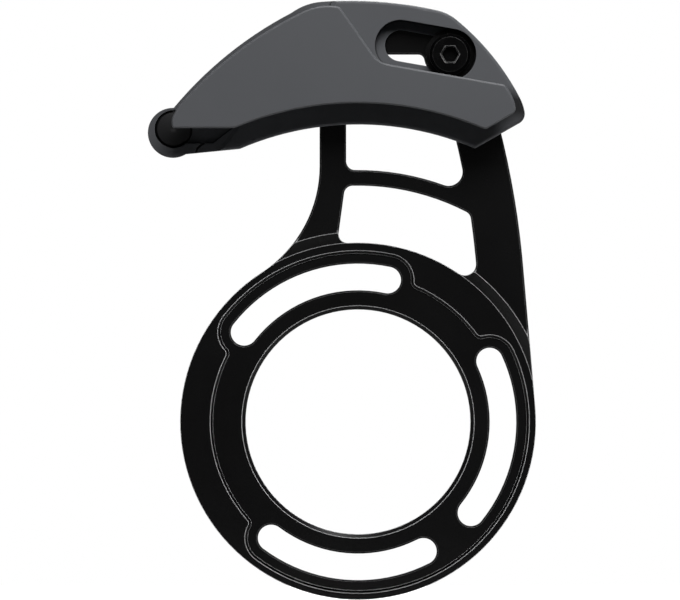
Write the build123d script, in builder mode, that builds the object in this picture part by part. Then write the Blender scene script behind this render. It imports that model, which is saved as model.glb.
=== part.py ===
from build123d import *
import os
from math import acos, atan2, cos, degrees, hypot, radians, sin, sqrt, tan

# Bicycle chain guide: a slotted back plate with an upper guide, which slides along a slot
# to suit the size of the chainring.
# The Y axis is the chainring's axis and y = 0 is the face that bolts to the bicycle.
# Seen from the chainring's side, X points right, Z up and the part faces -Y.
# Outlines lie on the XZ plane and are extruded forward. A depth is a distance in front of the mounting face.

# Mounting ring
mount_circle = 60.0
mount_slot_width = 5.5
mount_slot_span = 63.6
mount_slot_angles = (110, -7, -95)
bore_web = 4.0
bore_chamfer = 0.8
ring_thickness = 4.5
ring_land = 1.95
pocket_margin = 2.1
pocket_depth = 0.9
pocket_bevel = 0.6
pocket_corner = 1.6

# Arm of the back plate
arm_thickness = 4.0
arm_step = 2.2
step_land = 0.3
leg_edge_x = -7.95
leg_width = 5.5
leg_foot_width = 2.7
leg_fillet = 26.3
arm_right_rise = 11.2
arm_right_angle = 44.9
arm_right_inset = 3.1
arm_right_height = 54.05
right_leg_width = 9.7
crossbar_radius = 50.5
crossbar_width = 3.25
window_corner = 1.8
lower_window_heel = 2.3
upper_window_heel = 2.9
lug_radius = 5.4
lug_corner = 5.0
lug_blend = 1.2
edge_break = 0.3

# Inner half of the guide. Places on the guide are (x, height), with heights from the top of its lower edge.
guide_radius = 61.5
guide_start_angle = 113.4
guide_end_angle = 66.85
guide_round = 0.6
inner_thickness = 6.4
nose_place = (-38.25, -1.75)
nose_radius = 5.15
nose_low_angle = -58.7
nose_top_angle = 88.0
back_edge_mid = (-26.3, 14.9)
crest_start = (-13.7, 23.05)
crest_left = (-7.6, 25.3)
crest_mid = (6.0, 25.2)
crest_right = (16.4, 23.55)
shoulder_end = (20.2, 21.7)
flank_end = (33.4, 5.5)
tip_mid = (34.4, 2.6)
right_end = (33.05, 0.1)
rear_wall = 1.8
core_round = 0.8
rib_width = 1.6
rib_places = (-14.0, 14.0)
front_web = 2.9

# Mouth and nose, where the chain leaves the guide
mouth_depth = 1.2
nose_drop = 0.5
step_low = (-28.8, -6.5)
step_mid = (-24.2, -0.4)
step_lean = 52.0
step_slope = 60.0
strip_top = -3.95
notch_width = 0.45
notch_depth = 0.9
notch_top_x = -31.7
notch_mid = (-32.95, -4.75)
notch_low = (-33.45, -6.5)

# Nose bumper
bumper_place = (-38.1, -1.0)
bumper_radius = 3.7
bumper_height = 2.7
bumper_seat = 2.0
bumper_dome = 0.35
bumper_bevel = 0.35

# Adjusting screw, its washer, and the key that stops the guide from turning
screw_place = (19.0, 14.47)
screw_diameter = 5.0
screw_length = 8.0
screw_head_diameter = 8.5
screw_head_height = 3.5
screw_head_chamfer = 0.65
hex_key_size = 3.0
hex_depth = 2.2
hex_chamfer = 0.25
washer_diameter = 10.0
washer_thickness = 1.0
slot_tilt = -10.0
slot_length = 10.5
slot_end_gap = 0.1
slot_ledge = 1.8
key_width = 6.2
key_length = 2.0
key_relief = 0.1

# Outer half of the guide
channel_width = 8.0
outer_thickness = 3.0
outer_chamfer = 0.3
cover_lift = 4.3
cover_end_angle = 66.5
cover_tip_low = (-38.25, -0.85)
cover_tip_high = (-38.5, 1.0)
cover_back_low = (-36.9, 3.75)
cover_back_mid = (-24.0, 15.6)
cover_top_left = (-11.2, 23.15)
cover_top_right = (-3.85, 24.1)
cover_right_low = (32.5, 2.5)
cover_right_mid = (31.9, 5.2)
cover_bend = -14.23
cover_right_end = 12.11
cover_edge_offset = 4.4
cover_bend_radius = 5.0
cover_corner = 1.2
cover_tip_round = 3.0
cover_tip_corner = 0.4
bridge_thickness = 2.4
bridge_inset = 1.0

# Screws that join the two halves
join_places = ((-2.1, 16.0), (28.2, 5.1))
join_diameter = 3.0
join_length = 10.0
join_head_diameter = 5.5
join_head_height = 2.0
join_hex_size = 2.0
join_boss_wall = 1.3

# Clearances
thread_clearance = 0.05
hole_clearance = 0.15
head_clearance = 0.3
key_clearance = 0.1
bumper_clearance = 0.2

# Levels in front of the mounting face
pocket_floor = ring_thickness - pocket_depth
arm_front = ring_thickness + arm_step
arm_back = arm_front - arm_thickness
ledge_front = arm_front + slot_ledge
washer_front = ledge_front + washer_thickness
inner_front = arm_front + inner_thickness
mouth_floor = inner_front - mouth_depth
bumper_back = mouth_floor - bumper_seat
join_seat = inner_front - front_web
outer_back = inner_front + channel_width

# Radii that follow from the sizes
mount_radius = mount_circle / 2
bore_radius = mount_radius - mount_slot_width / 2 - bore_web
pocket_width = mount_slot_width + 2 * pocket_margin
ring_radius = mount_radius + pocket_width / 2 + ring_land
step_radius = ring_radius + step_land
cover_radius = guide_radius + cover_lift
reach = 2 * guide_radius


def polar(radius, angle, centre=(0, 0)):
    """Point at an angle in degrees round a centre."""
    turn = radians(angle)
    return (centre[0] + radius * cos(turn), centre[1] + radius * sin(turn))


def on_guide(place):
    """Point of the guide, from its x and its height over the top of the lower edge."""
    return (place[0], guide_radius + place[1])


def beside_screw(forward, above):
    """Point measured from the adjusting screw: along its slot to the right, then square to it upwards."""
    return polar(above, slot_tilt + 90, polar(forward, slot_tilt, screw_at))


def touch_angle(upper, lower, centre, radius):
    """Angle at which a large arc through two points touches a small circle that it goes round."""
    half = hypot(upper[0] - lower[0], upper[1] - lower[1]) / 2
    middle = ((upper[0] + lower[0]) / 2, (upper[1] + lower[1]) / 2)
    inward = ((lower[1] - upper[1]) / half / 2, (upper[0] - lower[0]) / half / 2)
    away = (middle[0] - centre[0], middle[1] - centre[1])
    along = inward[0] * away[0] + inward[1] * away[1]
    excess = away[0] ** 2 + away[1] ** 2 - half**2 - radius**2
    root = radius * sqrt(excess**2 + 4 * half**2 * (along**2 - radius**2))
    shift = (root - excess * along) / (along**2 - radius**2) / 2
    return degrees(atan2(-away[1] - shift * inward[1], -away[0] - shift * inward[0]))


def on_circles(corners, *radii):
    """Corners of an outline that lie on circles round the ring's centre."""
    return [v for v in corners if min(abs(hypot(v.X, v.Y) - r) for r in radii) < 0.01]


def at_depth(depth):
    """Drawing plane at a depth in front of the mounting face."""
    return Plane.XZ.offset(depth)


def edges_at(edges, depth):
    """Edges that lie flat at a depth in front of the mounting face."""
    return edges.filter_by_position(Axis.Y, -depth - 0.01, -depth + 0.01)


screw_at = on_guide(screw_place)
join_points = [on_guide(place) for place in join_places]

# Back plate: ring and arm are one plate, machined on both sides so that the arm stands forward of the ring.
leg_fillet_x = leg_edge_x - leg_fillet
leg_fillet_z = sqrt((ring_radius + leg_fillet) ** 2 - leg_fillet_x**2)
leg_foot = polar(ring_radius, degrees(atan2(leg_fillet_z, leg_fillet_x)))
arm_right_low = polar(ring_radius + arm_right_rise, arm_right_angle)
arm_right_mid = (arm_right_low[0] - arm_right_inset, arm_right_height)
right_foot = polar(ring_radius, arm_right_angle - degrees(acos(ring_radius / hypot(*arm_right_low))))
lug_side = polar(lug_radius, touch_angle(arm_right_mid, arm_right_low, screw_at, lug_radius), screw_at)
lug_top = polar(lug_radius, 90, screw_at)
leg_inner_x = leg_edge_x + leg_width
leg_foot_x = leg_edge_x + leg_foot_width
crossbar_low = crossbar_radius - crossbar_width / 2
crossbar_high = crossbar_radius + crossbar_width / 2
half_span = mount_slot_span / 2
slot_starts = [angle - half_span for angle in mount_slot_angles]
mount_arcs = [CenterArc((0, 0), mount_radius, start, mount_slot_span) for start in slot_starts]
low_span = mount_slot_angles[1] - mount_slot_angles[2] + mount_slot_span
low_arc = CenterArc((0, 0), mount_radius, mount_slot_angles[2] - half_span, low_span)


def window_outline():
    """Space between the arm's two legs, from inside the ring to above the top bar."""
    top_right = (lug_side[0] - right_leg_width, lug_side[1])
    mid_right = (arm_right_mid[0] - right_leg_width, arm_right_mid[1])
    low_right = (arm_right_low[0] - right_leg_width, arm_right_low[1])
    foot_right = (right_foot[0] - right_leg_width, right_foot[1])
    Polyline(low_right, foot_right, (leg_foot_x, mount_radius), (leg_inner_x, crossbar_radius))
    Polyline((leg_inner_x, crossbar_radius), (leg_inner_x, lug_side[1]), top_right)
    ThreePointArc(top_right, mid_right, low_right)


with BuildPart() as back_plate:
    with BuildSketch(Plane.XZ):
        Circle(ring_radius)
    extrude(amount=ring_thickness)
    with BuildSketch(Plane.XZ):
        with BuildLine():
            RadiusArc(leg_foot, (leg_edge_x, leg_fillet_z), -leg_fillet)
            FilletPolyline((leg_edge_x, leg_fillet_z), (leg_edge_x, lug_top[1]), lug_top, radius=lug_corner)
            RadiusArc(lug_top, lug_side, lug_radius)
            ThreePointArc(lug_side, arm_right_mid, arm_right_low)
            Polyline(arm_right_low, right_foot, leg_foot)
        make_face()
    extrude(amount=arm_front)
    chamfer(back_plate.faces().sort_by(Axis.Y)[0].edges(), edge_break)
    # Windows below and above the crossbar.
    with BuildSketch(Plane.XZ) as lower_window:
        with BuildLine():
            window_outline()
        make_face()
        Circle(crossbar_low, mode=Mode.INTERSECT)
        Circle(step_radius, mode=Mode.SUBTRACT)
        lower_corners = lower_window.vertices().sort_by(Axis.X)
        fillet(on_circles(lower_corners[:-1], step_radius, crossbar_low), window_corner)
        fillet(lower_window.vertices().sort_by(Axis.X)[-1], lower_window_heel)
    extrude(amount=arm_front, mode=Mode.SUBTRACT)
    chamfer(edges_at(back_plate.edges(Select.LAST), arm_front), edge_break)
    with BuildSketch(Plane.XZ) as upper_window:
        with BuildLine():
            window_outline()
        make_face()
        Circle(crossbar_high, mode=Mode.SUBTRACT)
        with Locations(screw_at):
            Rectangle(reach, reach, align=(Align.CENTER, Align.MIN), mode=Mode.SUBTRACT)
            Circle(lug_radius, mode=Mode.SUBTRACT)
        fillet(upper_window.vertices().sort_by(Axis.Y)[-3:], lug_blend)
        upper_corners = upper_window.vertices().sort_by(Axis.X)
        fillet(on_circles(upper_corners[:-1], crossbar_high), window_corner)
        fillet(upper_window.vertices().sort_by(Axis.X)[-1], upper_window_heel)
    extrude(amount=arm_front, mode=Mode.SUBTRACT)
    chamfer(edges_at(back_plate.edges(Select.LAST), arm_front), edge_break)
    # The back of the arm is cut away outside a cone that starts at the ring's rim.
    with BuildSketch(Plane.XY):
        with BuildLine():
            Polyline((ring_radius, 0), (ring_radius + arm_back, -arm_back), (reach, -arm_back))
            Polyline((reach, -arm_back), (reach, arm_back), (ring_radius, arm_back), (ring_radius, 0))
        make_face()
    revolve(axis=Axis.Y, mode=Mode.SUBTRACT)
    # The front is sunk to the ring's face inside a cone.
    with BuildSketch(Plane.XY):
        with BuildLine():
            cone_top = (step_radius + arm_step, -arm_front)
            cone_end = (step_radius + 2 * arm_step, -arm_front - arm_step)
            Polyline((0, -ring_thickness), (step_radius, -ring_thickness), cone_top, cone_end)
            Polyline(cone_end, (0, -arm_front - arm_step), (0, -ring_thickness))
        make_face()
    revolve(axis=Axis.Y, mode=Mode.SUBTRACT)
    # Shallow pocket round the bore and the mounting slots.
    with BuildSketch(at_depth(ring_thickness)) as pocket:
        Circle(mount_radius)
        SlotArc(mount_arcs[0], pocket_width)
        SlotArc(low_arc, pocket_width)
        fillet(on_circles(pocket.vertices(), mount_radius), pocket_corner)
    extrude(amount=-pocket_depth, mode=Mode.SUBTRACT)
    chamfer(edges_at(back_plate.edges(Select.LAST), ring_thickness), pocket_bevel)
    # Bore and three curved mounting slots.
    with BuildSketch(Plane.XZ):
        Circle(bore_radius)
    extrude(amount=ring_thickness, mode=Mode.SUBTRACT)
    chamfer(edges_at(back_plate.edges(Select.LAST), pocket_floor), bore_chamfer)
    with BuildSketch(Plane.XZ):
        for mount_arc in mount_arcs:
            SlotArc(mount_arc, mount_slot_width)
    extrude(amount=ring_thickness, mode=Mode.SUBTRACT)
    chamfer(edges_at(back_plate.edges(Select.LAST), pocket_floor), edge_break)
    # Key on the arm's face, and the tapped hole through it.
    with BuildSketch(at_depth(arm_front)):
        with Locations(beside_screw(-key_length / 2, 0)):
            SlotCenterToCenter(key_length, key_width, rotation=slot_tilt)
    extrude(amount=slot_ledge - key_relief)
    with BuildSketch(Plane.XZ):
        with Locations(screw_at):
            Circle(screw_diameter / 2 + thread_clearance)
    extrude(amount=ledge_front, mode=Mode.SUBTRACT)

# Inner half of the guide: a moulding on the arm, with the counterbored slot, the mouth and the nose.
nose_at = on_guide(nose_place)
nose_low = polar(nose_radius, nose_low_angle, nose_at)
nose_top = polar(nose_radius, nose_top_angle, nose_at)
bumper_at = on_guide(bumper_place)
guide_start = polar(guide_radius, guide_start_angle)
guide_end = polar(guide_radius, guide_end_angle)
slot_mid = beside_screw(slot_end_gap - slot_length / 2, 0)
slot_width = key_width + 2 * key_clearance
slot_recess_width = washer_diameter + 2 * head_clearance
join_head_hole = join_head_diameter / 2 + head_clearance
core_margin = rear_wall + core_round
slot_land_width = slot_recess_width + 2 * core_margin
step_top = polar(guide_radius, step_lean, on_guide(step_mid))
step_run = nose_drop * tan(radians(step_slope)) / sin(radians(step_lean))
nose_side = nose_at[0] - guide_radius


def guide_outline():
    """Edge of the inner half: nose, lower edge round the chainring, right end, crest and back edge."""
    Line(nose_low, guide_start)
    ThreePointArc(guide_start, polar(guide_radius, 90), guide_end)
    Line(guide_end, on_guide(right_end))
    crest = ThreePointArc(on_guide(crest_left), on_guide(crest_mid), on_guide(crest_right))
    shoulder = TangentArc(on_guide(crest_right), on_guide(shoulder_end), tangent=crest % 1)
    flank = TangentArc(on_guide(shoulder_end), on_guide(flank_end), tangent=shoulder % 1)
    tip = TangentArc(on_guide(flank_end), on_guide(tip_mid), tangent=flank % 1)
    TangentArc(on_guide(tip_mid), on_guide(right_end), tangent=tip % 1)
    TangentArc(on_guide(crest_left), on_guide(crest_start), tangent=-(crest % 0))
    ThreePointArc(on_guide(crest_start), on_guide(back_edge_mid), nose_top)
    ThreePointArc(nose_top, polar(nose_radius, 180, nose_at), nose_low)


with BuildPart() as inner_guide:
    with BuildSketch(at_depth(arm_front)):
        with BuildLine():
            guide_outline()
        make_face()
    extrude(amount=inner_thickness)
    fillet(inner_guide.faces().sort_by(Axis.Y)[0].edges(), guide_round)
    # Cored back, left solid round the slot, the screws and the nose, with two ribs.
    with BuildSketch(at_depth(arm_front)):
        with BuildLine():
            guide_outline()
        make_face()
        offset(amount=-core_margin, mode=Mode.REPLACE)
        with Locations(slot_mid):
            SlotCenterToCenter(slot_length, slot_land_width, rotation=slot_tilt, mode=Mode.SUBTRACT)
        with Locations(*join_points):
            Circle(join_head_hole + core_margin, mode=Mode.SUBTRACT)
        with Locations(nose_at):
            Circle(nose_radius + core_margin, mode=Mode.SUBTRACT)
        with Locations(*[(x, guide_radius) for x in rib_places]):
            Rectangle(rib_width + 2 * core_round, guide_radius, mode=Mode.SUBTRACT)
        offset(amount=core_round, mode=Mode.REPLACE)
    extrude(amount=join_seat - arm_front, mode=Mode.SUBTRACT)
    # Adjusting slot with its counterbore.
    with BuildSketch(at_depth(arm_front)):
        with Locations(slot_mid):
            SlotCenterToCenter(slot_length, slot_width, rotation=slot_tilt)
    extrude(amount=slot_ledge, mode=Mode.SUBTRACT)
    with BuildSketch(at_depth(ledge_front)):
        with Locations(slot_mid):
            SlotCenterToCenter(slot_length, slot_recess_width, rotation=slot_tilt)
    extrude(amount=inner_front - ledge_front, mode=Mode.SUBTRACT)
    # Holes for the joining screws.
    with BuildSketch(at_depth(arm_front)):
        with Locations(*join_points):
            Circle(join_head_hole)
    extrude(amount=join_seat - arm_front, mode=Mode.SUBTRACT)
    with BuildSketch(at_depth(join_seat)):
        with Locations(*join_points):
            Circle(join_diameter / 2 + hole_clearance)
    extrude(amount=front_web, mode=Mode.SUBTRACT)
    # Left of a slanting step the face drops a little, and the mouth's floor lies lower still.
    with BuildSketch(at_depth(inner_front)):
        with BuildLine():
            Polyline(on_guide(step_low), on_guide(step_mid), step_top, (nose_side, step_top[1]))
            Polyline((nose_side, step_top[1]), (nose_side, 0), on_guide(step_low))
        make_face()
    extrude(amount=-nose_drop, taper=step_slope, mode=Mode.SUBTRACT)
    with BuildSketch(at_depth(mouth_floor)):
        with BuildLine():
            floor_left = (bumper_at[0], guide_radius + strip_top)
            floor_right = (step_low[0] - step_run, guide_radius + strip_top)
            floor_mid = (step_mid[0] - step_run, on_guide(step_mid)[1])
            floor_top = (step_top[0] - step_run, step_top[1])
            Polyline(floor_left, floor_right, floor_mid, floor_top, (bumper_at[0], step_top[1]), floor_left)
        make_face()
        with Locations(bumper_at):
            Circle(bumper_radius + bumper_clearance)
    extrude(amount=mouth_depth, mode=Mode.SUBTRACT)
    with BuildSketch(at_depth(mouth_floor - notch_depth)):
        with BuildLine():
            ThreePointArc((notch_top_x, guide_radius + strip_top), on_guide(notch_mid), on_guide(notch_low))
        trace(line_width=notch_width)
    extrude(amount=notch_depth + mouth_depth, mode=Mode.SUBTRACT)
    with BuildSketch(at_depth(bumper_back)):
        with Locations(bumper_at):
            Circle(bumper_radius + bumper_clearance)
    extrude(amount=bumper_seat, mode=Mode.SUBTRACT)

# Outer half of the guide: a plate in front of the chain, held off the inner half by a wall and two bosses.
cover_bend_at = beside_screw(cover_bend, -cover_edge_offset)
cover_right_top = beside_screw(cover_right_end, -cover_edge_offset)
cover_top = on_guide(cover_top_right)
cover_crest = on_guide(cover_top_left)
cover_tip = on_guide(cover_tip_low)
cover_start = (-sqrt(cover_radius**2 - cover_tip[1] ** 2), cover_tip[1])
cover_end = polar(cover_radius, cover_end_angle)
diagonal_angle = degrees(atan2(cover_top[1] - cover_bend_at[1], cover_top[0] - cover_bend_at[0]))
half_bend = (diagonal_angle - slot_tilt) / 2
wall_inset = bridge_inset + bridge_thickness / 2
wall_right = beside_screw(cover_right_end - bridge_inset, -cover_edge_offset - wall_inset)
wall_bend = polar(wall_inset / sin(radians(half_bend)), slot_tilt + half_bend + 180, cover_bend_at)
wall_top = polar(wall_inset, diagonal_angle + 90, cover_top)
join_boss_radius = join_diameter / 2 + join_boss_wall

with BuildPart() as outer_guide:
    with BuildSketch(at_depth(outer_back)) as cover:
        with BuildLine():
            Line(cover_tip, cover_start)
            ThreePointArc(cover_start, polar(cover_radius, 90), cover_end)
            Line(cover_end, on_guide(cover_right_low))
            ThreePointArc(on_guide(cover_right_low), on_guide(cover_right_mid), cover_right_top)
            Polyline(cover_right_top, cover_bend_at, cover_top)
            back = ThreePointArc(cover_crest, on_guide(cover_back_mid), on_guide(cover_back_low))
            TangentArc(cover_crest, cover_top, tangent=-(back % 0))
            Polyline(on_guide(cover_back_low), on_guide(cover_tip_high), cover_tip)
        make_face()
        fillet(cover.vertices().sort_by_distance(cover_bend_at)[0], cover_bend_radius)
        for corner in (cover_end, on_guide(cover_right_low), cover_right_top, cover_top):
            fillet(cover.vertices().sort_by_distance(corner)[0], cover_corner)
        fillet(cover.vertices().sort_by_distance(on_guide(cover_tip_high))[0], cover_tip_round)
        fillet(cover.vertices().sort_by_distance(cover_tip)[0], cover_tip_corner)
    extrude(amount=outer_thickness)
    chamfer(outer_guide.faces().sort_by(Axis.Y)[0].edges(), outer_chamfer)
    with BuildSketch(at_depth(inner_front)):
        with BuildLine():
            FilletPolyline(wall_right, wall_bend, wall_top, radius=cover_bend_radius)
        trace(line_width=bridge_thickness)
        with Locations(*join_points):
            Circle(join_boss_radius)
    extrude(amount=channel_width)
    with BuildSketch(at_depth(inner_front)):
        with Locations(*join_points):
            Circle(join_diameter / 2 + thread_clearance)
    extrude(amount=channel_width, mode=Mode.SUBTRACT)

# Nose bumper: a rubber disc in the nose's recess, with a slightly domed face and a bevelled edge.
bumper_centre = (bumper_at[0], 0, bumper_at[1])
bumper_front = bumper_back + bumper_height
bumper_rim = bumper_front - bumper_dome
bumper_ball = (bumper_radius**2 + bumper_dome**2) / bumper_dome / 2

with BuildPart() as nose_bumper:
    with BuildSketch(Plane(bumper_centre, x_dir=(1, 0, 0), z_dir=(0, 0, 1))):
        with BuildLine():
            Polyline((0, -bumper_front), (0, -bumper_back), (bumper_radius, -bumper_back))
            Line((bumper_radius, -bumper_back), (bumper_radius, -bumper_rim))
            RadiusArc((bumper_radius, -bumper_rim), (0, -bumper_front), bumper_ball)
        make_face()
    revolve(axis=Axis(bumper_centre, (0, 1, 0)))
    chamfer(edges_at(nose_bumper.edges(), bumper_rim), bumper_bevel)

# Adjusting screw, with a hexagon socket in its low head.
with BuildPart() as adjust_screw:
    with BuildSketch(at_depth(washer_front)):
        with Locations(screw_at):
            Circle(screw_head_diameter / 2)
    extrude(amount=screw_head_height)
    chamfer(adjust_screw.faces().sort_by(Axis.Y)[0].edges(), screw_head_chamfer)
    with BuildSketch(at_depth(washer_front)):
        with Locations(screw_at):
            Circle(screw_diameter / 2)
    extrude(amount=-screw_length)
    with BuildSketch(at_depth(washer_front + screw_head_height)):
        with Locations(screw_at):
            RegularPolygon(hex_key_size / 2, 6, major_radius=False)
    extrude(amount=-hex_depth, mode=Mode.SUBTRACT)
    chamfer(edges_at(adjust_screw.edges(Select.LAST), washer_front + screw_head_height), hex_chamfer)

# Washer between the screw's head and the slot's ledge.
with BuildPart() as screw_washer:
    with BuildSketch(at_depth(ledge_front)):
        with Locations(screw_at):
            Circle(washer_diameter / 2)
            Circle(screw_diameter / 2 + hole_clearance, mode=Mode.SUBTRACT)
    extrude(amount=washer_thickness)

# Joining screws: two low-head screws put in from behind.
with BuildPart() as join_screws:
    with BuildSketch(at_depth(join_seat)):
        with Locations(*join_points):
            Circle(join_head_diameter / 2)
    extrude(amount=-join_head_height)
    with BuildSketch(at_depth(join_seat)):
        with Locations(*join_points):
            Circle(join_diameter / 2)
    extrude(amount=join_length)
    with BuildSketch(at_depth(join_seat - join_head_height)):
        with Locations(*join_points):
            RegularPolygon(join_hex_size / 2, 6, major_radius=False)
    extrude(amount=join_head_height / 2, mode=Mode.SUBTRACT)

os.makedirs("parts", exist_ok=True)
back_plate.part.label = "back_plate"
inner_guide.part.label = "inner_guide"
outer_guide.part.label = "outer_guide"
nose_bumper.part.label = "nose_bumper"
adjust_screw.part.label = "adjust_screw"
screw_washer.part.label = "screw_washer"
join_screws.part.label = "join_screws"
export_step(back_plate.part, "parts/back_plate.step")
export_step(inner_guide.part, "parts/inner_guide.step")
export_step(outer_guide.part, "parts/outer_guide.step")
export_step(nose_bumper.part, "parts/nose_bumper.step")
export_step(adjust_screw.part, "parts/adjust_screw.step")
export_step(screw_washer.part, "parts/screw_washer.step")
export_step(join_screws.part, "parts/join_screws.step")
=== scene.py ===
from math import radians

import bpy
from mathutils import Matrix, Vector


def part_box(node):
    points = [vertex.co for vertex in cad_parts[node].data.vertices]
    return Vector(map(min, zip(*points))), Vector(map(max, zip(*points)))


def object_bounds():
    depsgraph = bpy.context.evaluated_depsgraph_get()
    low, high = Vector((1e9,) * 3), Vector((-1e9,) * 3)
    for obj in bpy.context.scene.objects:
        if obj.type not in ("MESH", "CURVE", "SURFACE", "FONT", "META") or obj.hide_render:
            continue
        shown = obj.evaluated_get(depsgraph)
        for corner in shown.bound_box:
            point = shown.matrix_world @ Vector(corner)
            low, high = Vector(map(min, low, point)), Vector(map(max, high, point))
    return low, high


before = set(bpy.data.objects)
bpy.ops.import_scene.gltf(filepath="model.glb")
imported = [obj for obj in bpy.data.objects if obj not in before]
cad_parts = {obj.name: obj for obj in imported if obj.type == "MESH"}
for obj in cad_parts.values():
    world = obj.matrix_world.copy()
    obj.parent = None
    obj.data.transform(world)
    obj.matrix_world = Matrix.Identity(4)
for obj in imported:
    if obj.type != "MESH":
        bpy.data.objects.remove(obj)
cad_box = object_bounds()


# Back plate: ring and arm milled from one aluminium plate, bead blasted and anodised black.
# The bevels of its bore, its pocket and its step are cut after that, so their edges are bright; a painted
# highlight adds to that.
def feed(tree, socket, source):
    """Links a socket to another node's socket, or gives it a plain value."""
    if isinstance(source, bpy.types.NodeSocket):
        tree.links.new(source, socket)
    else:
        socket.default_value = source


def add_node(tree, kind, feeds=None, **settings):
    """A node with its settings, and with what feeds its sockets."""
    made = tree.nodes.new(kind)
    for name, value in settings.items():
        setattr(made, name, value)
    for socket, source in (feeds or {}).items():
        feed(tree, made.inputs[socket], source)
    return made


def ramp(tree, value, start, end, low=0.0, high=1.0):
    """A value stretched from start and end to low and high, and held there outside them."""
    feeds = {"Value": value, "From Min": start, "From Max": end, "To Min": low, "To Max": high}
    return add_node(tree, "ShaderNodeMapRange", feeds).outputs["Result"]


def times(tree, first, second):
    """The product of two numbers."""
    return add_node(tree, "ShaderNodeMath", {0: first, 1: second}, operation="MULTIPLY").outputs["Value"]


def group_tree(name, inputs, outputs):
    """An empty shader group with named sockets, its input sockets and its output sockets."""
    tree = bpy.data.node_groups.new(name, "ShaderNodeTree")
    for label, value in inputs.items():
        socket = tree.interface.new_socket(label, in_out="INPUT", socket_type="NodeSocketFloat")
        socket.default_value = value
    for label, kind in outputs.items():
        tree.interface.new_socket(label, in_out="OUTPUT", socket_type=kind)
    return tree, tree.nodes.new("NodeGroupInput").outputs, tree.nodes.new("NodeGroupOutput").inputs


# The lines' lighter tone is partly wear and partly a painted highlight.
# Edge wear and glint: a mask of thin lines along the piece's bevels, and a normal that rounds its edges.
# A turn is the cosine between the rounded normal and the face's own, so it is 1 on a flat face.
flat_turn = 0.998
full_line_turn = 0.96
bevel_turn = 0.91
square_turn = 0.83
edge_wear_and_glint, edge_in, edge_out = group_tree(
    "edge_wear_and_glint",
    {"Width": 0.0002, "Share": 0.6},
    {"Mask": "NodeSocketFloat", "Normal": "NodeSocketVector"},
)
edge_round = add_node(
    edge_wear_and_glint, "ShaderNodeBevel", {"Radius": edge_in["Width"]}, samples=8
).outputs["Normal"]
edge_face = add_node(edge_wear_and_glint, "ShaderNodeNewGeometry").outputs["Normal"]
edge_turn = add_node(
    edge_wear_and_glint, "ShaderNodeVectorMath", {0: edge_round, 1: edge_face}, operation="DOT_PRODUCT"
).outputs["Value"]
on_edge = ramp(edge_wear_and_glint, edge_turn, flat_turn, full_line_turn, high=edge_in["Share"])
not_square = ramp(edge_wear_and_glint, edge_turn, square_turn, bevel_turn)
edge_wear_and_glint.links.new(times(edge_wear_and_glint, on_edge, not_square), edge_out["Mask"])
edge_wear_and_glint.links.new(edge_round, edge_out["Normal"])

# Corner shade: a mask of the inner corners, which it darkens as painted shade.
# Openness is how much of its surroundings, within a short reach, a point sees as empty.
unshaded_openness = 0.9
shaded_openness = 0.6
corner_shade, shade_in, shade_out = group_tree(
    "corner_shade",
    {"Reach": 0.0006, "Share": 0.8},
    {"Mask": "NodeSocketFloat"},
)
openness = add_node(
    corner_shade, "ShaderNodeAmbientOcclusion", {"Distance": shade_in["Reach"]}, samples=16
).outputs["AO"]
shade_mask = ramp(corner_shade, openness, unshaded_openness, shaded_openness, high=shade_in["Share"])
corner_shade.links.new(shade_mask, shade_out["Mask"])

# Fine grain: blasted or spark-eroded texture as a height, with slow blotches over it.
# The numbers of grains and blotches are per metre.
fine_grain, grain_in, grain_out = group_tree(
    "fine_grain",
    {"Grains": 5000.0, "Blotches": 60.0},
    {"Height": "NodeSocketFloat", "Blotch": "NodeSocketFloat"},
)
grain_place = add_node(fine_grain, "ShaderNodeTexCoord").outputs["Object"]
for scale, detail, roughness, label in (
    ("Grains", 3.0, 0.6, "Height"),
    ("Blotches", 4.0, 0.55, "Blotch"),
):
    noise = add_node(
        fine_grain,
        "ShaderNodeTexNoise",
        {"Vector": grain_place, "Scale": grain_in[scale], "Detail": detail, "Roughness": roughness},
    )
    fine_grain.links.new(noise.outputs["Fac"], grain_out[label])


def blend(tree, kind, share, first, second):
    """Two colours (kind RGBA) or two numbers (kind FLOAT), mixed by a share."""
    made = add_node(tree, "ShaderNodeMix", data_type=kind)
    sockets = [socket for socket in made.inputs if socket.enabled]
    for socket, source in zip(sockets, (share, first, second)):
        feed(tree, socket, source)
    return next(socket for socket in made.outputs if socket.enabled)


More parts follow.
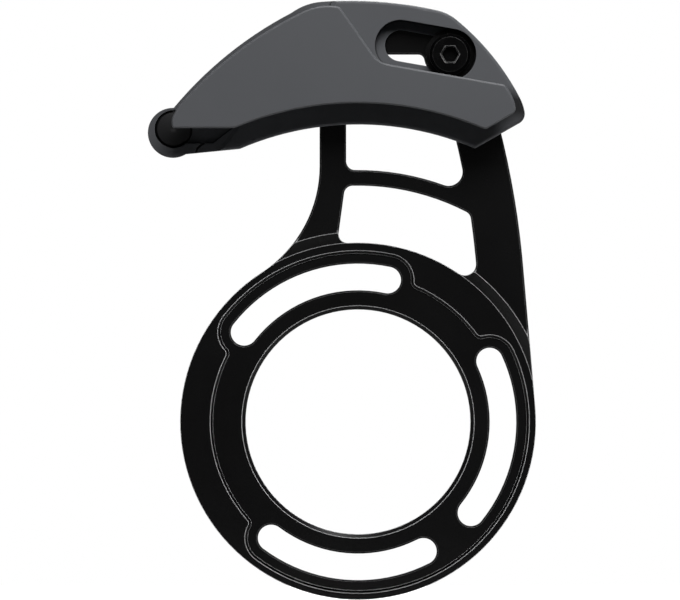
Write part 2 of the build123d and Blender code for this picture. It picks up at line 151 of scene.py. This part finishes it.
def finish_material(
    name,
    tones,
    edge_wear_and_glint_tone,
    corner_shade_tone,
    edge_width,
    grains,
    blotches,
    rough,
    grain_depth,
    specular,
    edge_share=1.0,
):
    """A piece's material: two blotched tones, bevel lines of wear and painted highlight, painted shade in
    corners, and grain in gloss and surface.
    """
    material = bpy.data.materials.new(name)
    material.use_nodes = True
    tree = material.node_tree
    shader = tree.nodes["Principled BSDF"]
    shader.inputs["Specular IOR Level"].default_value = specular
    edges = add_node(
        tree,
        "ShaderNodeGroup",
        {"Width": edge_width, "Share": edge_share},
        node_tree=edge_wear_and_glint,
        name="edge_wear_and_glint",
    )
    shaded_corners = add_node(tree, "ShaderNodeGroup", node_tree=corner_shade)
    texture = add_node(
        tree, "ShaderNodeGroup", {"Grains": grains, "Blotches": blotches}, node_tree=fine_grain
    )
    blotch = texture.outputs["Blotch"]
    body_tone = blend(tree, "RGBA", blotch, (*tones[0], 1), (*tones[1], 1))
    edge_tone = blend(tree, "RGBA", edges.outputs["Mask"], body_tone, (*edge_wear_and_glint_tone, 1))
    tone = blend(tree, "RGBA", shaded_corners.outputs["Mask"], edge_tone, (*corner_shade_tone, 1))
    gloss = ramp(tree, blotch, start=0.3, end=0.7, low=rough[0], high=rough[1])
    bump = add_node(
        tree,
        "ShaderNodeBump",
        {
            "Strength": 0.5,
            "Distance": grain_depth,
            "Height": texture.outputs["Height"],
            "Normal": edges.outputs["Normal"],
        },
    )
    tree.links.new(tone, shader.inputs["Base Color"])
    tree.links.new(gloss, shader.inputs["Roughness"])
    tree.links.new(bump.outputs["Normal"], shader.inputs["Normal"])
    return material


def dress(part, material):
    """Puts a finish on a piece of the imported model."""
    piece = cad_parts[part]
    piece.data.materials.clear()
    piece.data.materials.append(material)


black_anodised = finish_material(
    "black_anodised_aluminium",
    tones=((0.0026, 0.0026, 0.0027), (0.0036, 0.0036, 0.0038)),
    edge_wear_and_glint_tone=(0.75, 0.75, 0.76),
    corner_shade_tone=(0.001, 0.001, 0.001),
    edge_width=0.0002,
    grains=5200.0,
    blotches=55.0,
    rough=(0.23, 0.29),
    grain_depth=0.0000025,
    specular=0.17,
)
dress("back_plate", black_anodised)


def larger(tree, first, second):
    """The larger of two numbers."""
    return add_node(tree, "ShaderNodeMath", {0: first, 1: second}, operation="MAXIMUM").outputs["Value"]


def from_axis(tree, place, middle=(0, 0, 0)):
    """How far a place lies from the axis that runs through a middle, square to the plate."""
    shift = (-middle[0], 0, -middle[2])
    flat = add_node(
        tree, "ShaderNodeVectorMath", {0: place, 1: (1, 0, 1), 2: shift}, operation="MULTIPLY_ADD"
    )
    made = add_node(tree, "ShaderNodeVectorMath", {0: flat.outputs["Vector"]}, operation="LENGTH")
    return made.outputs["Value"]


# The bright bevels lie at the bore, or in front of the pocket's floor, and none lies out on the arm.
# The ring's axis runs through the origin.
# Their brightness is partly bare metal and partly a painted highlight.
bore_edge = 0.0245
pocket_floor = -0.0037
step_edge = 0.0398
bevel_fade = 0.0001
step_fade = 0.0002
dull_share = 0.12
bright_share = 1.0
plate_tree = black_anodised.node_tree
plate_place = add_node(plate_tree, "ShaderNodeTexCoord").outputs["Object"]
plate_depth = add_node(plate_tree, "ShaderNodeSeparateXYZ", {"Vector": plate_place}).outputs["Y"]
plate_reach = from_axis(plate_tree, plate_place)
in_front = ramp(plate_tree, plate_depth, pocket_floor, pocket_floor - bevel_fade)
at_bore = ramp(plate_tree, plate_reach, bore_edge + bevel_fade, bore_edge - bevel_fade)
on_ring = ramp(plate_tree, plate_reach, step_edge + step_fade, step_edge - step_fade)
bare_and_glinting_bevel = times(plate_tree, larger(plate_tree, in_front, at_bore), on_ring)
bevel_share = ramp(plate_tree, bare_and_glinting_bevel, 0.0, 1.0, dull_share, bright_share)
plate_tree.links.new(bevel_share, plate_tree.nodes["edge_wear_and_glint"].inputs["Share"])

# Inner half of the guide: glass-filled nylon, moulded grey in a spark-eroded tool.
# It lies on the arm's face and slides along its slot. Its wall is darkened at both ends as painted shade.
# Its bevel lines are lighter, partly as wear and partly as a painted highlight.
grey_nylon = dict(
    tones=((0.078, 0.081, 0.088), (0.088, 0.091, 0.098)),
    edge_wear_and_glint_tone=(0.2, 0.204, 0.212),
    corner_shade_tone=(0.004, 0.004, 0.0044),
    edge_width=0.0002,
    edge_share=0.4,
    grains=4200.0,
    blotches=45.0,
    rough=(0.46, 0.56),
    grain_depth=0.000014,
    specular=0.2,
)
wall_shaded_nylon = finish_material("grey_nylon_with_painted_wall_shade", **grey_nylon)
dress("inner_guide", wall_shaded_nylon)


def past_line(tree, place, across, start, end):
    """0 before a straight line over the guide's face and 1 past it, with across square to the line."""
    made = add_node(tree, "ShaderNodeVectorMath", {0: place, 1: across}, operation="DOT_PRODUCT")
    return ramp(tree, made.outputs["Value"], start, end)


# The painted shade lies on the front of the wall and off its foot, which is the edge nearest to the ring.
# It is strong under the slot at the right, weak along the lip below that, and weak at the left.
wall_shade_tone = (0.006, 0.006, 0.0068, 1)
lip_share = 0.25
left_share = 0.352
square_to_slot = (-0.178, 0, -0.984)
square_to_slant = (-0.815, 0, -0.579)
wall_tree = wall_shaded_nylon.node_tree
wall_shader = wall_tree.nodes["Principled BSDF"]
wall_place = add_node(wall_tree, "ShaderNodeTexCoord").outputs["Object"]
wall_axes = add_node(wall_tree, "ShaderNodeSeparateXYZ", {"Vector": wall_place}).outputs
under_slot = past_line(wall_tree, wall_place, square_to_slot, start=-0.074, end=-0.0714)
right_end = ramp(wall_tree, wall_axes["X"], start=0.024, end=0.027)
right_lip = ramp(wall_tree, wall_axes["Z"], start=0.0642, end=0.0612, low=1.0, high=lip_share)
left_of_slot = past_line(wall_tree, wall_place, square_to_slant, start=-0.0463, end=-0.0453)
left_end = ramp(wall_tree, wall_axes["X"], start=-0.006, end=-0.014, high=left_share)
wall_front = ramp(wall_tree, wall_axes["Y"], start=-0.0105, end=-0.0115)
off_foot = ramp(wall_tree, from_axis(wall_tree, wall_place), start=0.0665, end=0.069)
at_right = times(wall_tree, times(wall_tree, under_slot, right_end), right_lip)
at_left = times(wall_tree, left_of_slot, left_end)
on_wall = times(wall_tree, larger(wall_tree, at_right, at_left), wall_front)
wall_shade_share = times(wall_tree, on_wall, off_foot)
unshaded_wall_tone = wall_shader.inputs["Base Color"].links[0].from_socket
wall_tone = blend(wall_tree, "RGBA", wall_shade_share, unshaded_wall_tone, wall_shade_tone)
wall_tree.links.new(wall_tone, wall_shader.inputs["Base Color"])

# Outer half of the guide: the plate in front of the chain, the same grey nylon from the same tool shop.
# Two screws hold its wall and bosses on the inner half.
dress("outer_guide", finish_material("grey_moulded_nylon", **grey_nylon))

# Nose bumper: a black rubber button with a matt moulded face.
# It is pressed into the nose, where the chain would slap.
black_rubber = finish_material(
    "black_rubber",
    tones=((0.004, 0.004, 0.0044), (0.006, 0.006, 0.0066)),
    edge_wear_and_glint_tone=(0.03, 0.03, 0.03),
    corner_shade_tone=(0.002, 0.002, 0.002),
    edge_width=0.00025,
    edge_share=0.3,
    grains=3600.0,
    blotches=120.0,
    rough=(0.5, 0.62),
    grain_depth=0.00002,
    specular=0.2,
)
dress("nose_bumper", black_rubber)

# Adjusting screw: a socket head cap screw of alloy steel, blackened in hot oxide.
# It clamps the guide through a washer, and is undone to slide the guide.
black_oxide = finish_material(
    "black_oxide_steel",
    tones=((0.001, 0.001, 0.0011), (0.002, 0.002, 0.0021)),
    edge_wear_and_glint_tone=(0.5, 0.5, 0.5),
    corner_shade_tone=(0.001, 0.001, 0.001),
    edge_width=0.00014,
    grains=6500.0,
    blotches=300.0,
    rough=(0.22, 0.3),
    grain_depth=0.000002,
    specular=0.08,
)
dress("adjust_screw", black_oxide)

# The key has worn the edge of its socket bright, in patches. The head's outer edges are almost black.
# The socket's bright patches are partly a painted highlight.
socket_reach = 0.0029
socket_fade = 0.0001
outer_share = 0.1
socket_share = 1.0
patches_per_metre = 700.0
screw_low, screw_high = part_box("adjust_screw")
screw_middle = [(low + high) / 2 for low, high in zip(screw_low, screw_high)]
screw_tree = black_oxide.node_tree
screw_place = add_node(screw_tree, "ShaderNodeTexCoord").outputs["Object"]
screw_reach = from_axis(screw_tree, screw_place, screw_middle)
socket_wear_and_glint = ramp(
    screw_tree,
    screw_reach,
    socket_reach + socket_fade,
    socket_reach - socket_fade,
    outer_share,
    socket_share,
)
patch_noise = add_node(screw_tree, "ShaderNodeTexNoise", {"Vector": screw_place, "Scale": patches_per_metre})
socket_patches = ramp(screw_tree, patch_noise.outputs["Fac"], start=0.4, end=0.6, low=0.35)
patchy_share = times(screw_tree, socket_wear_and_glint, socket_patches)
screw_tree.links.new(patchy_share, screw_tree.nodes["edge_wear_and_glint"].inputs["Share"])

# Washer under the screw's head: a blanked ring of spring steel, blackened like the screw.
# Its edges are tumbled smooth, so they show no bright wear.
black_spring_steel = finish_material(
    "black_spring_steel",
    tones=((0.001, 0.001, 0.0011), (0.002, 0.002, 0.0021)),
    edge_wear_and_glint_tone=(0.02, 0.02, 0.02),
    corner_shade_tone=(0.001, 0.001, 0.001),
    edge_width=0.00012,
    edge_share=0.4,
    grains=6500.0,
    blotches=300.0,
    rough=(0.3, 0.4),
    grain_depth=0.000002,
    specular=0.1,
)
dress("screw_washer", black_spring_steel)

# Joining screws: two small socket head screws of alloy steel, black like the large one.
# They come from behind and pull the outer half on to the inner one.
dress("join_screws", black_oxide)

# Studio: a pale floor under the part, which keeps its shadow, in a room that is white behind it.
# The room is dim on the camera's side, so that black faces stay black.
floor_gap = 0.0002
floor_level = cad_box[0][2] - floor_gap
floor_left, floor_right = -0.3, 0.3
floor_front, floor_back = -0.1, 0.2
floor_mesh = bpy.data.meshes.new("studio_floor")
floor_mesh.from_pydata(
    [
        (floor_left, floor_front, floor_level),
        (floor_right, floor_front, floor_level),
        (floor_right, floor_back, floor_level),
        (floor_left, floor_back, floor_level),
    ],
    [],
    [(0, 1, 2, 3)],
)
studio_floor = bpy.data.objects.new("studio_floor", floor_mesh)
bpy.context.collection.objects.link(studio_floor)


def background_rays(tree, mirror_share):
    """The camera's own rays as 1, and the same with mirrored rays, by a share, and rays through glass."""
    path = add_node(tree, "ShaderNodeLightPath").outputs
    mirrored = times(tree, path["Is Glossy Ray"], mirror_share)
    through = larger(tree, mirrored, path["Is Transmission Ray"])
    return path["Is Camera Ray"], larger(tree, through, path["Is Camera Ray"])


# The floor looks paler than the tone with which it lights the part.
lighting_tone = (0.35, 0.35, 0.35, 1)
pale_tone = (0.85, 0.85, 0.85, 1)
floor_glow = 0.45
floor_mirror_share = 0.4
pale_floor = bpy.data.materials.new("pale_floor")
pale_floor.use_nodes = True
floor_tree = pale_floor.node_tree
floor_shader = floor_tree.nodes["Principled BSDF"]
floor_shader.inputs["Roughness"].default_value = 0.85
floor_shader.inputs["Specular IOR Level"].default_value = 0.1
floor_shader.inputs["Emission Color"].default_value = (1, 1, 1, 1)
floor_straight, floor_seen = background_rays(floor_tree, floor_mirror_share)
floor_tone = blend(floor_tree, "RGBA", floor_seen, lighting_tone, pale_tone)
floor_lift = blend(floor_tree, "FLOAT", floor_straight, 0.0, floor_glow)
floor_tree.links.new(floor_tone, floor_shader.inputs["Base Color"])
floor_tree.links.new(floor_lift, floor_shader.inputs["Emission Strength"])
floor_mesh.materials.append(pale_floor)

# The room's light grows from the camera's side, where Y is -1, to the far side, where it is 1.
studio_room = bpy.data.worlds.new("studio_room")
studio_room.use_nodes = True
bpy.context.scene.world = studio_room
room_tree = studio_room.node_tree
room_light = room_tree.nodes["Background"]
room_light.inputs["Color"].default_value = (1, 1, 1, 1)
room_way = add_node(room_tree, "ShaderNodeTexCoord").outputs["Generated"]
room_back = add_node(room_tree, "ShaderNodeSeparateXYZ", {"Vector": room_way}).outputs["Y"]
room_mirrored = ramp(room_tree, room_back, start=0.1, end=0.5, low=0.12)
room_fill = ramp(room_tree, room_back, start=-0.3, end=0.5, high=0.35)
room_straight, room_shown = background_rays(room_tree, mirror_share=1.0)
room_seen = blend(room_tree, "FLOAT", room_shown, room_fill, room_mirrored)
room_white = blend(room_tree, "FLOAT", room_straight, room_seen, 1.0)
room_tree.links.new(room_white, room_light.inputs["Strength"])


def softbox(name, place, target, size, power):
    """A rectangular area lamp that faces a point."""
    lamp = bpy.data.lights.new(name, "AREA")
    lamp.shape = "RECTANGLE"
    lamp.size, lamp.size_y = size
    lamp.energy = power
    holder = bpy.data.objects.new(name, lamp)
    holder.location = place
    holder.rotation_euler = (Vector(target) - Vector(place)).to_track_quat("-Z", "Y").to_euler()
    bpy.context.collection.objects.link(holder)


# The main lamp stands high in front, a little to the right, and one hangs over the part.
# A weak one behind on the right and a wide one behind light the sides and the back.
middle = (-0.00373, -0.009, 0.02523)
softbox("front_softbox", place=(0.08, -0.42, 0.35), target=(0.0, -0.01, 0.06), size=(0.3, 0.2), power=2.8)
softbox("top_softbox", place=(0.05, 0.1, 0.5), target=(0.0, 0.0, 0.0), size=(0.3, 0.1), power=1.6)
softbox("side_softbox", place=(0.4, 0.3, 0.1), target=(0.0, 0.0, 0.0), size=(0.2, 0.1), power=0.5)
softbox("rear_softbox", place=(0.1, 0.5, 0.5), target=middle, size=(0.6, 0.3), power=5.0)

# Camera: a long lens, square to the plate and far off, so that the view is almost flat.
# Its frame is 680 by 600, with the ring's foot on the lower edge.
lens_distance = 4.0
view_width = 0.1405
long_lens = bpy.data.cameras.new("long_lens")
long_lens.sensor_width = 36.0
long_lens.lens = long_lens.sensor_width * lens_distance / view_width
long_lens.clip_end = 20.0
camera = bpy.data.objects.new("camera", long_lens)
camera.location = (middle[0], middle[1] - lens_distance, middle[2])
camera.rotation_euler = (radians(90), 0, 0)
bpy.context.collection.objects.link(camera)
bpy.context.scene.camera = camera
bpy.context.scene.view_settings.view_transform = "Standard"
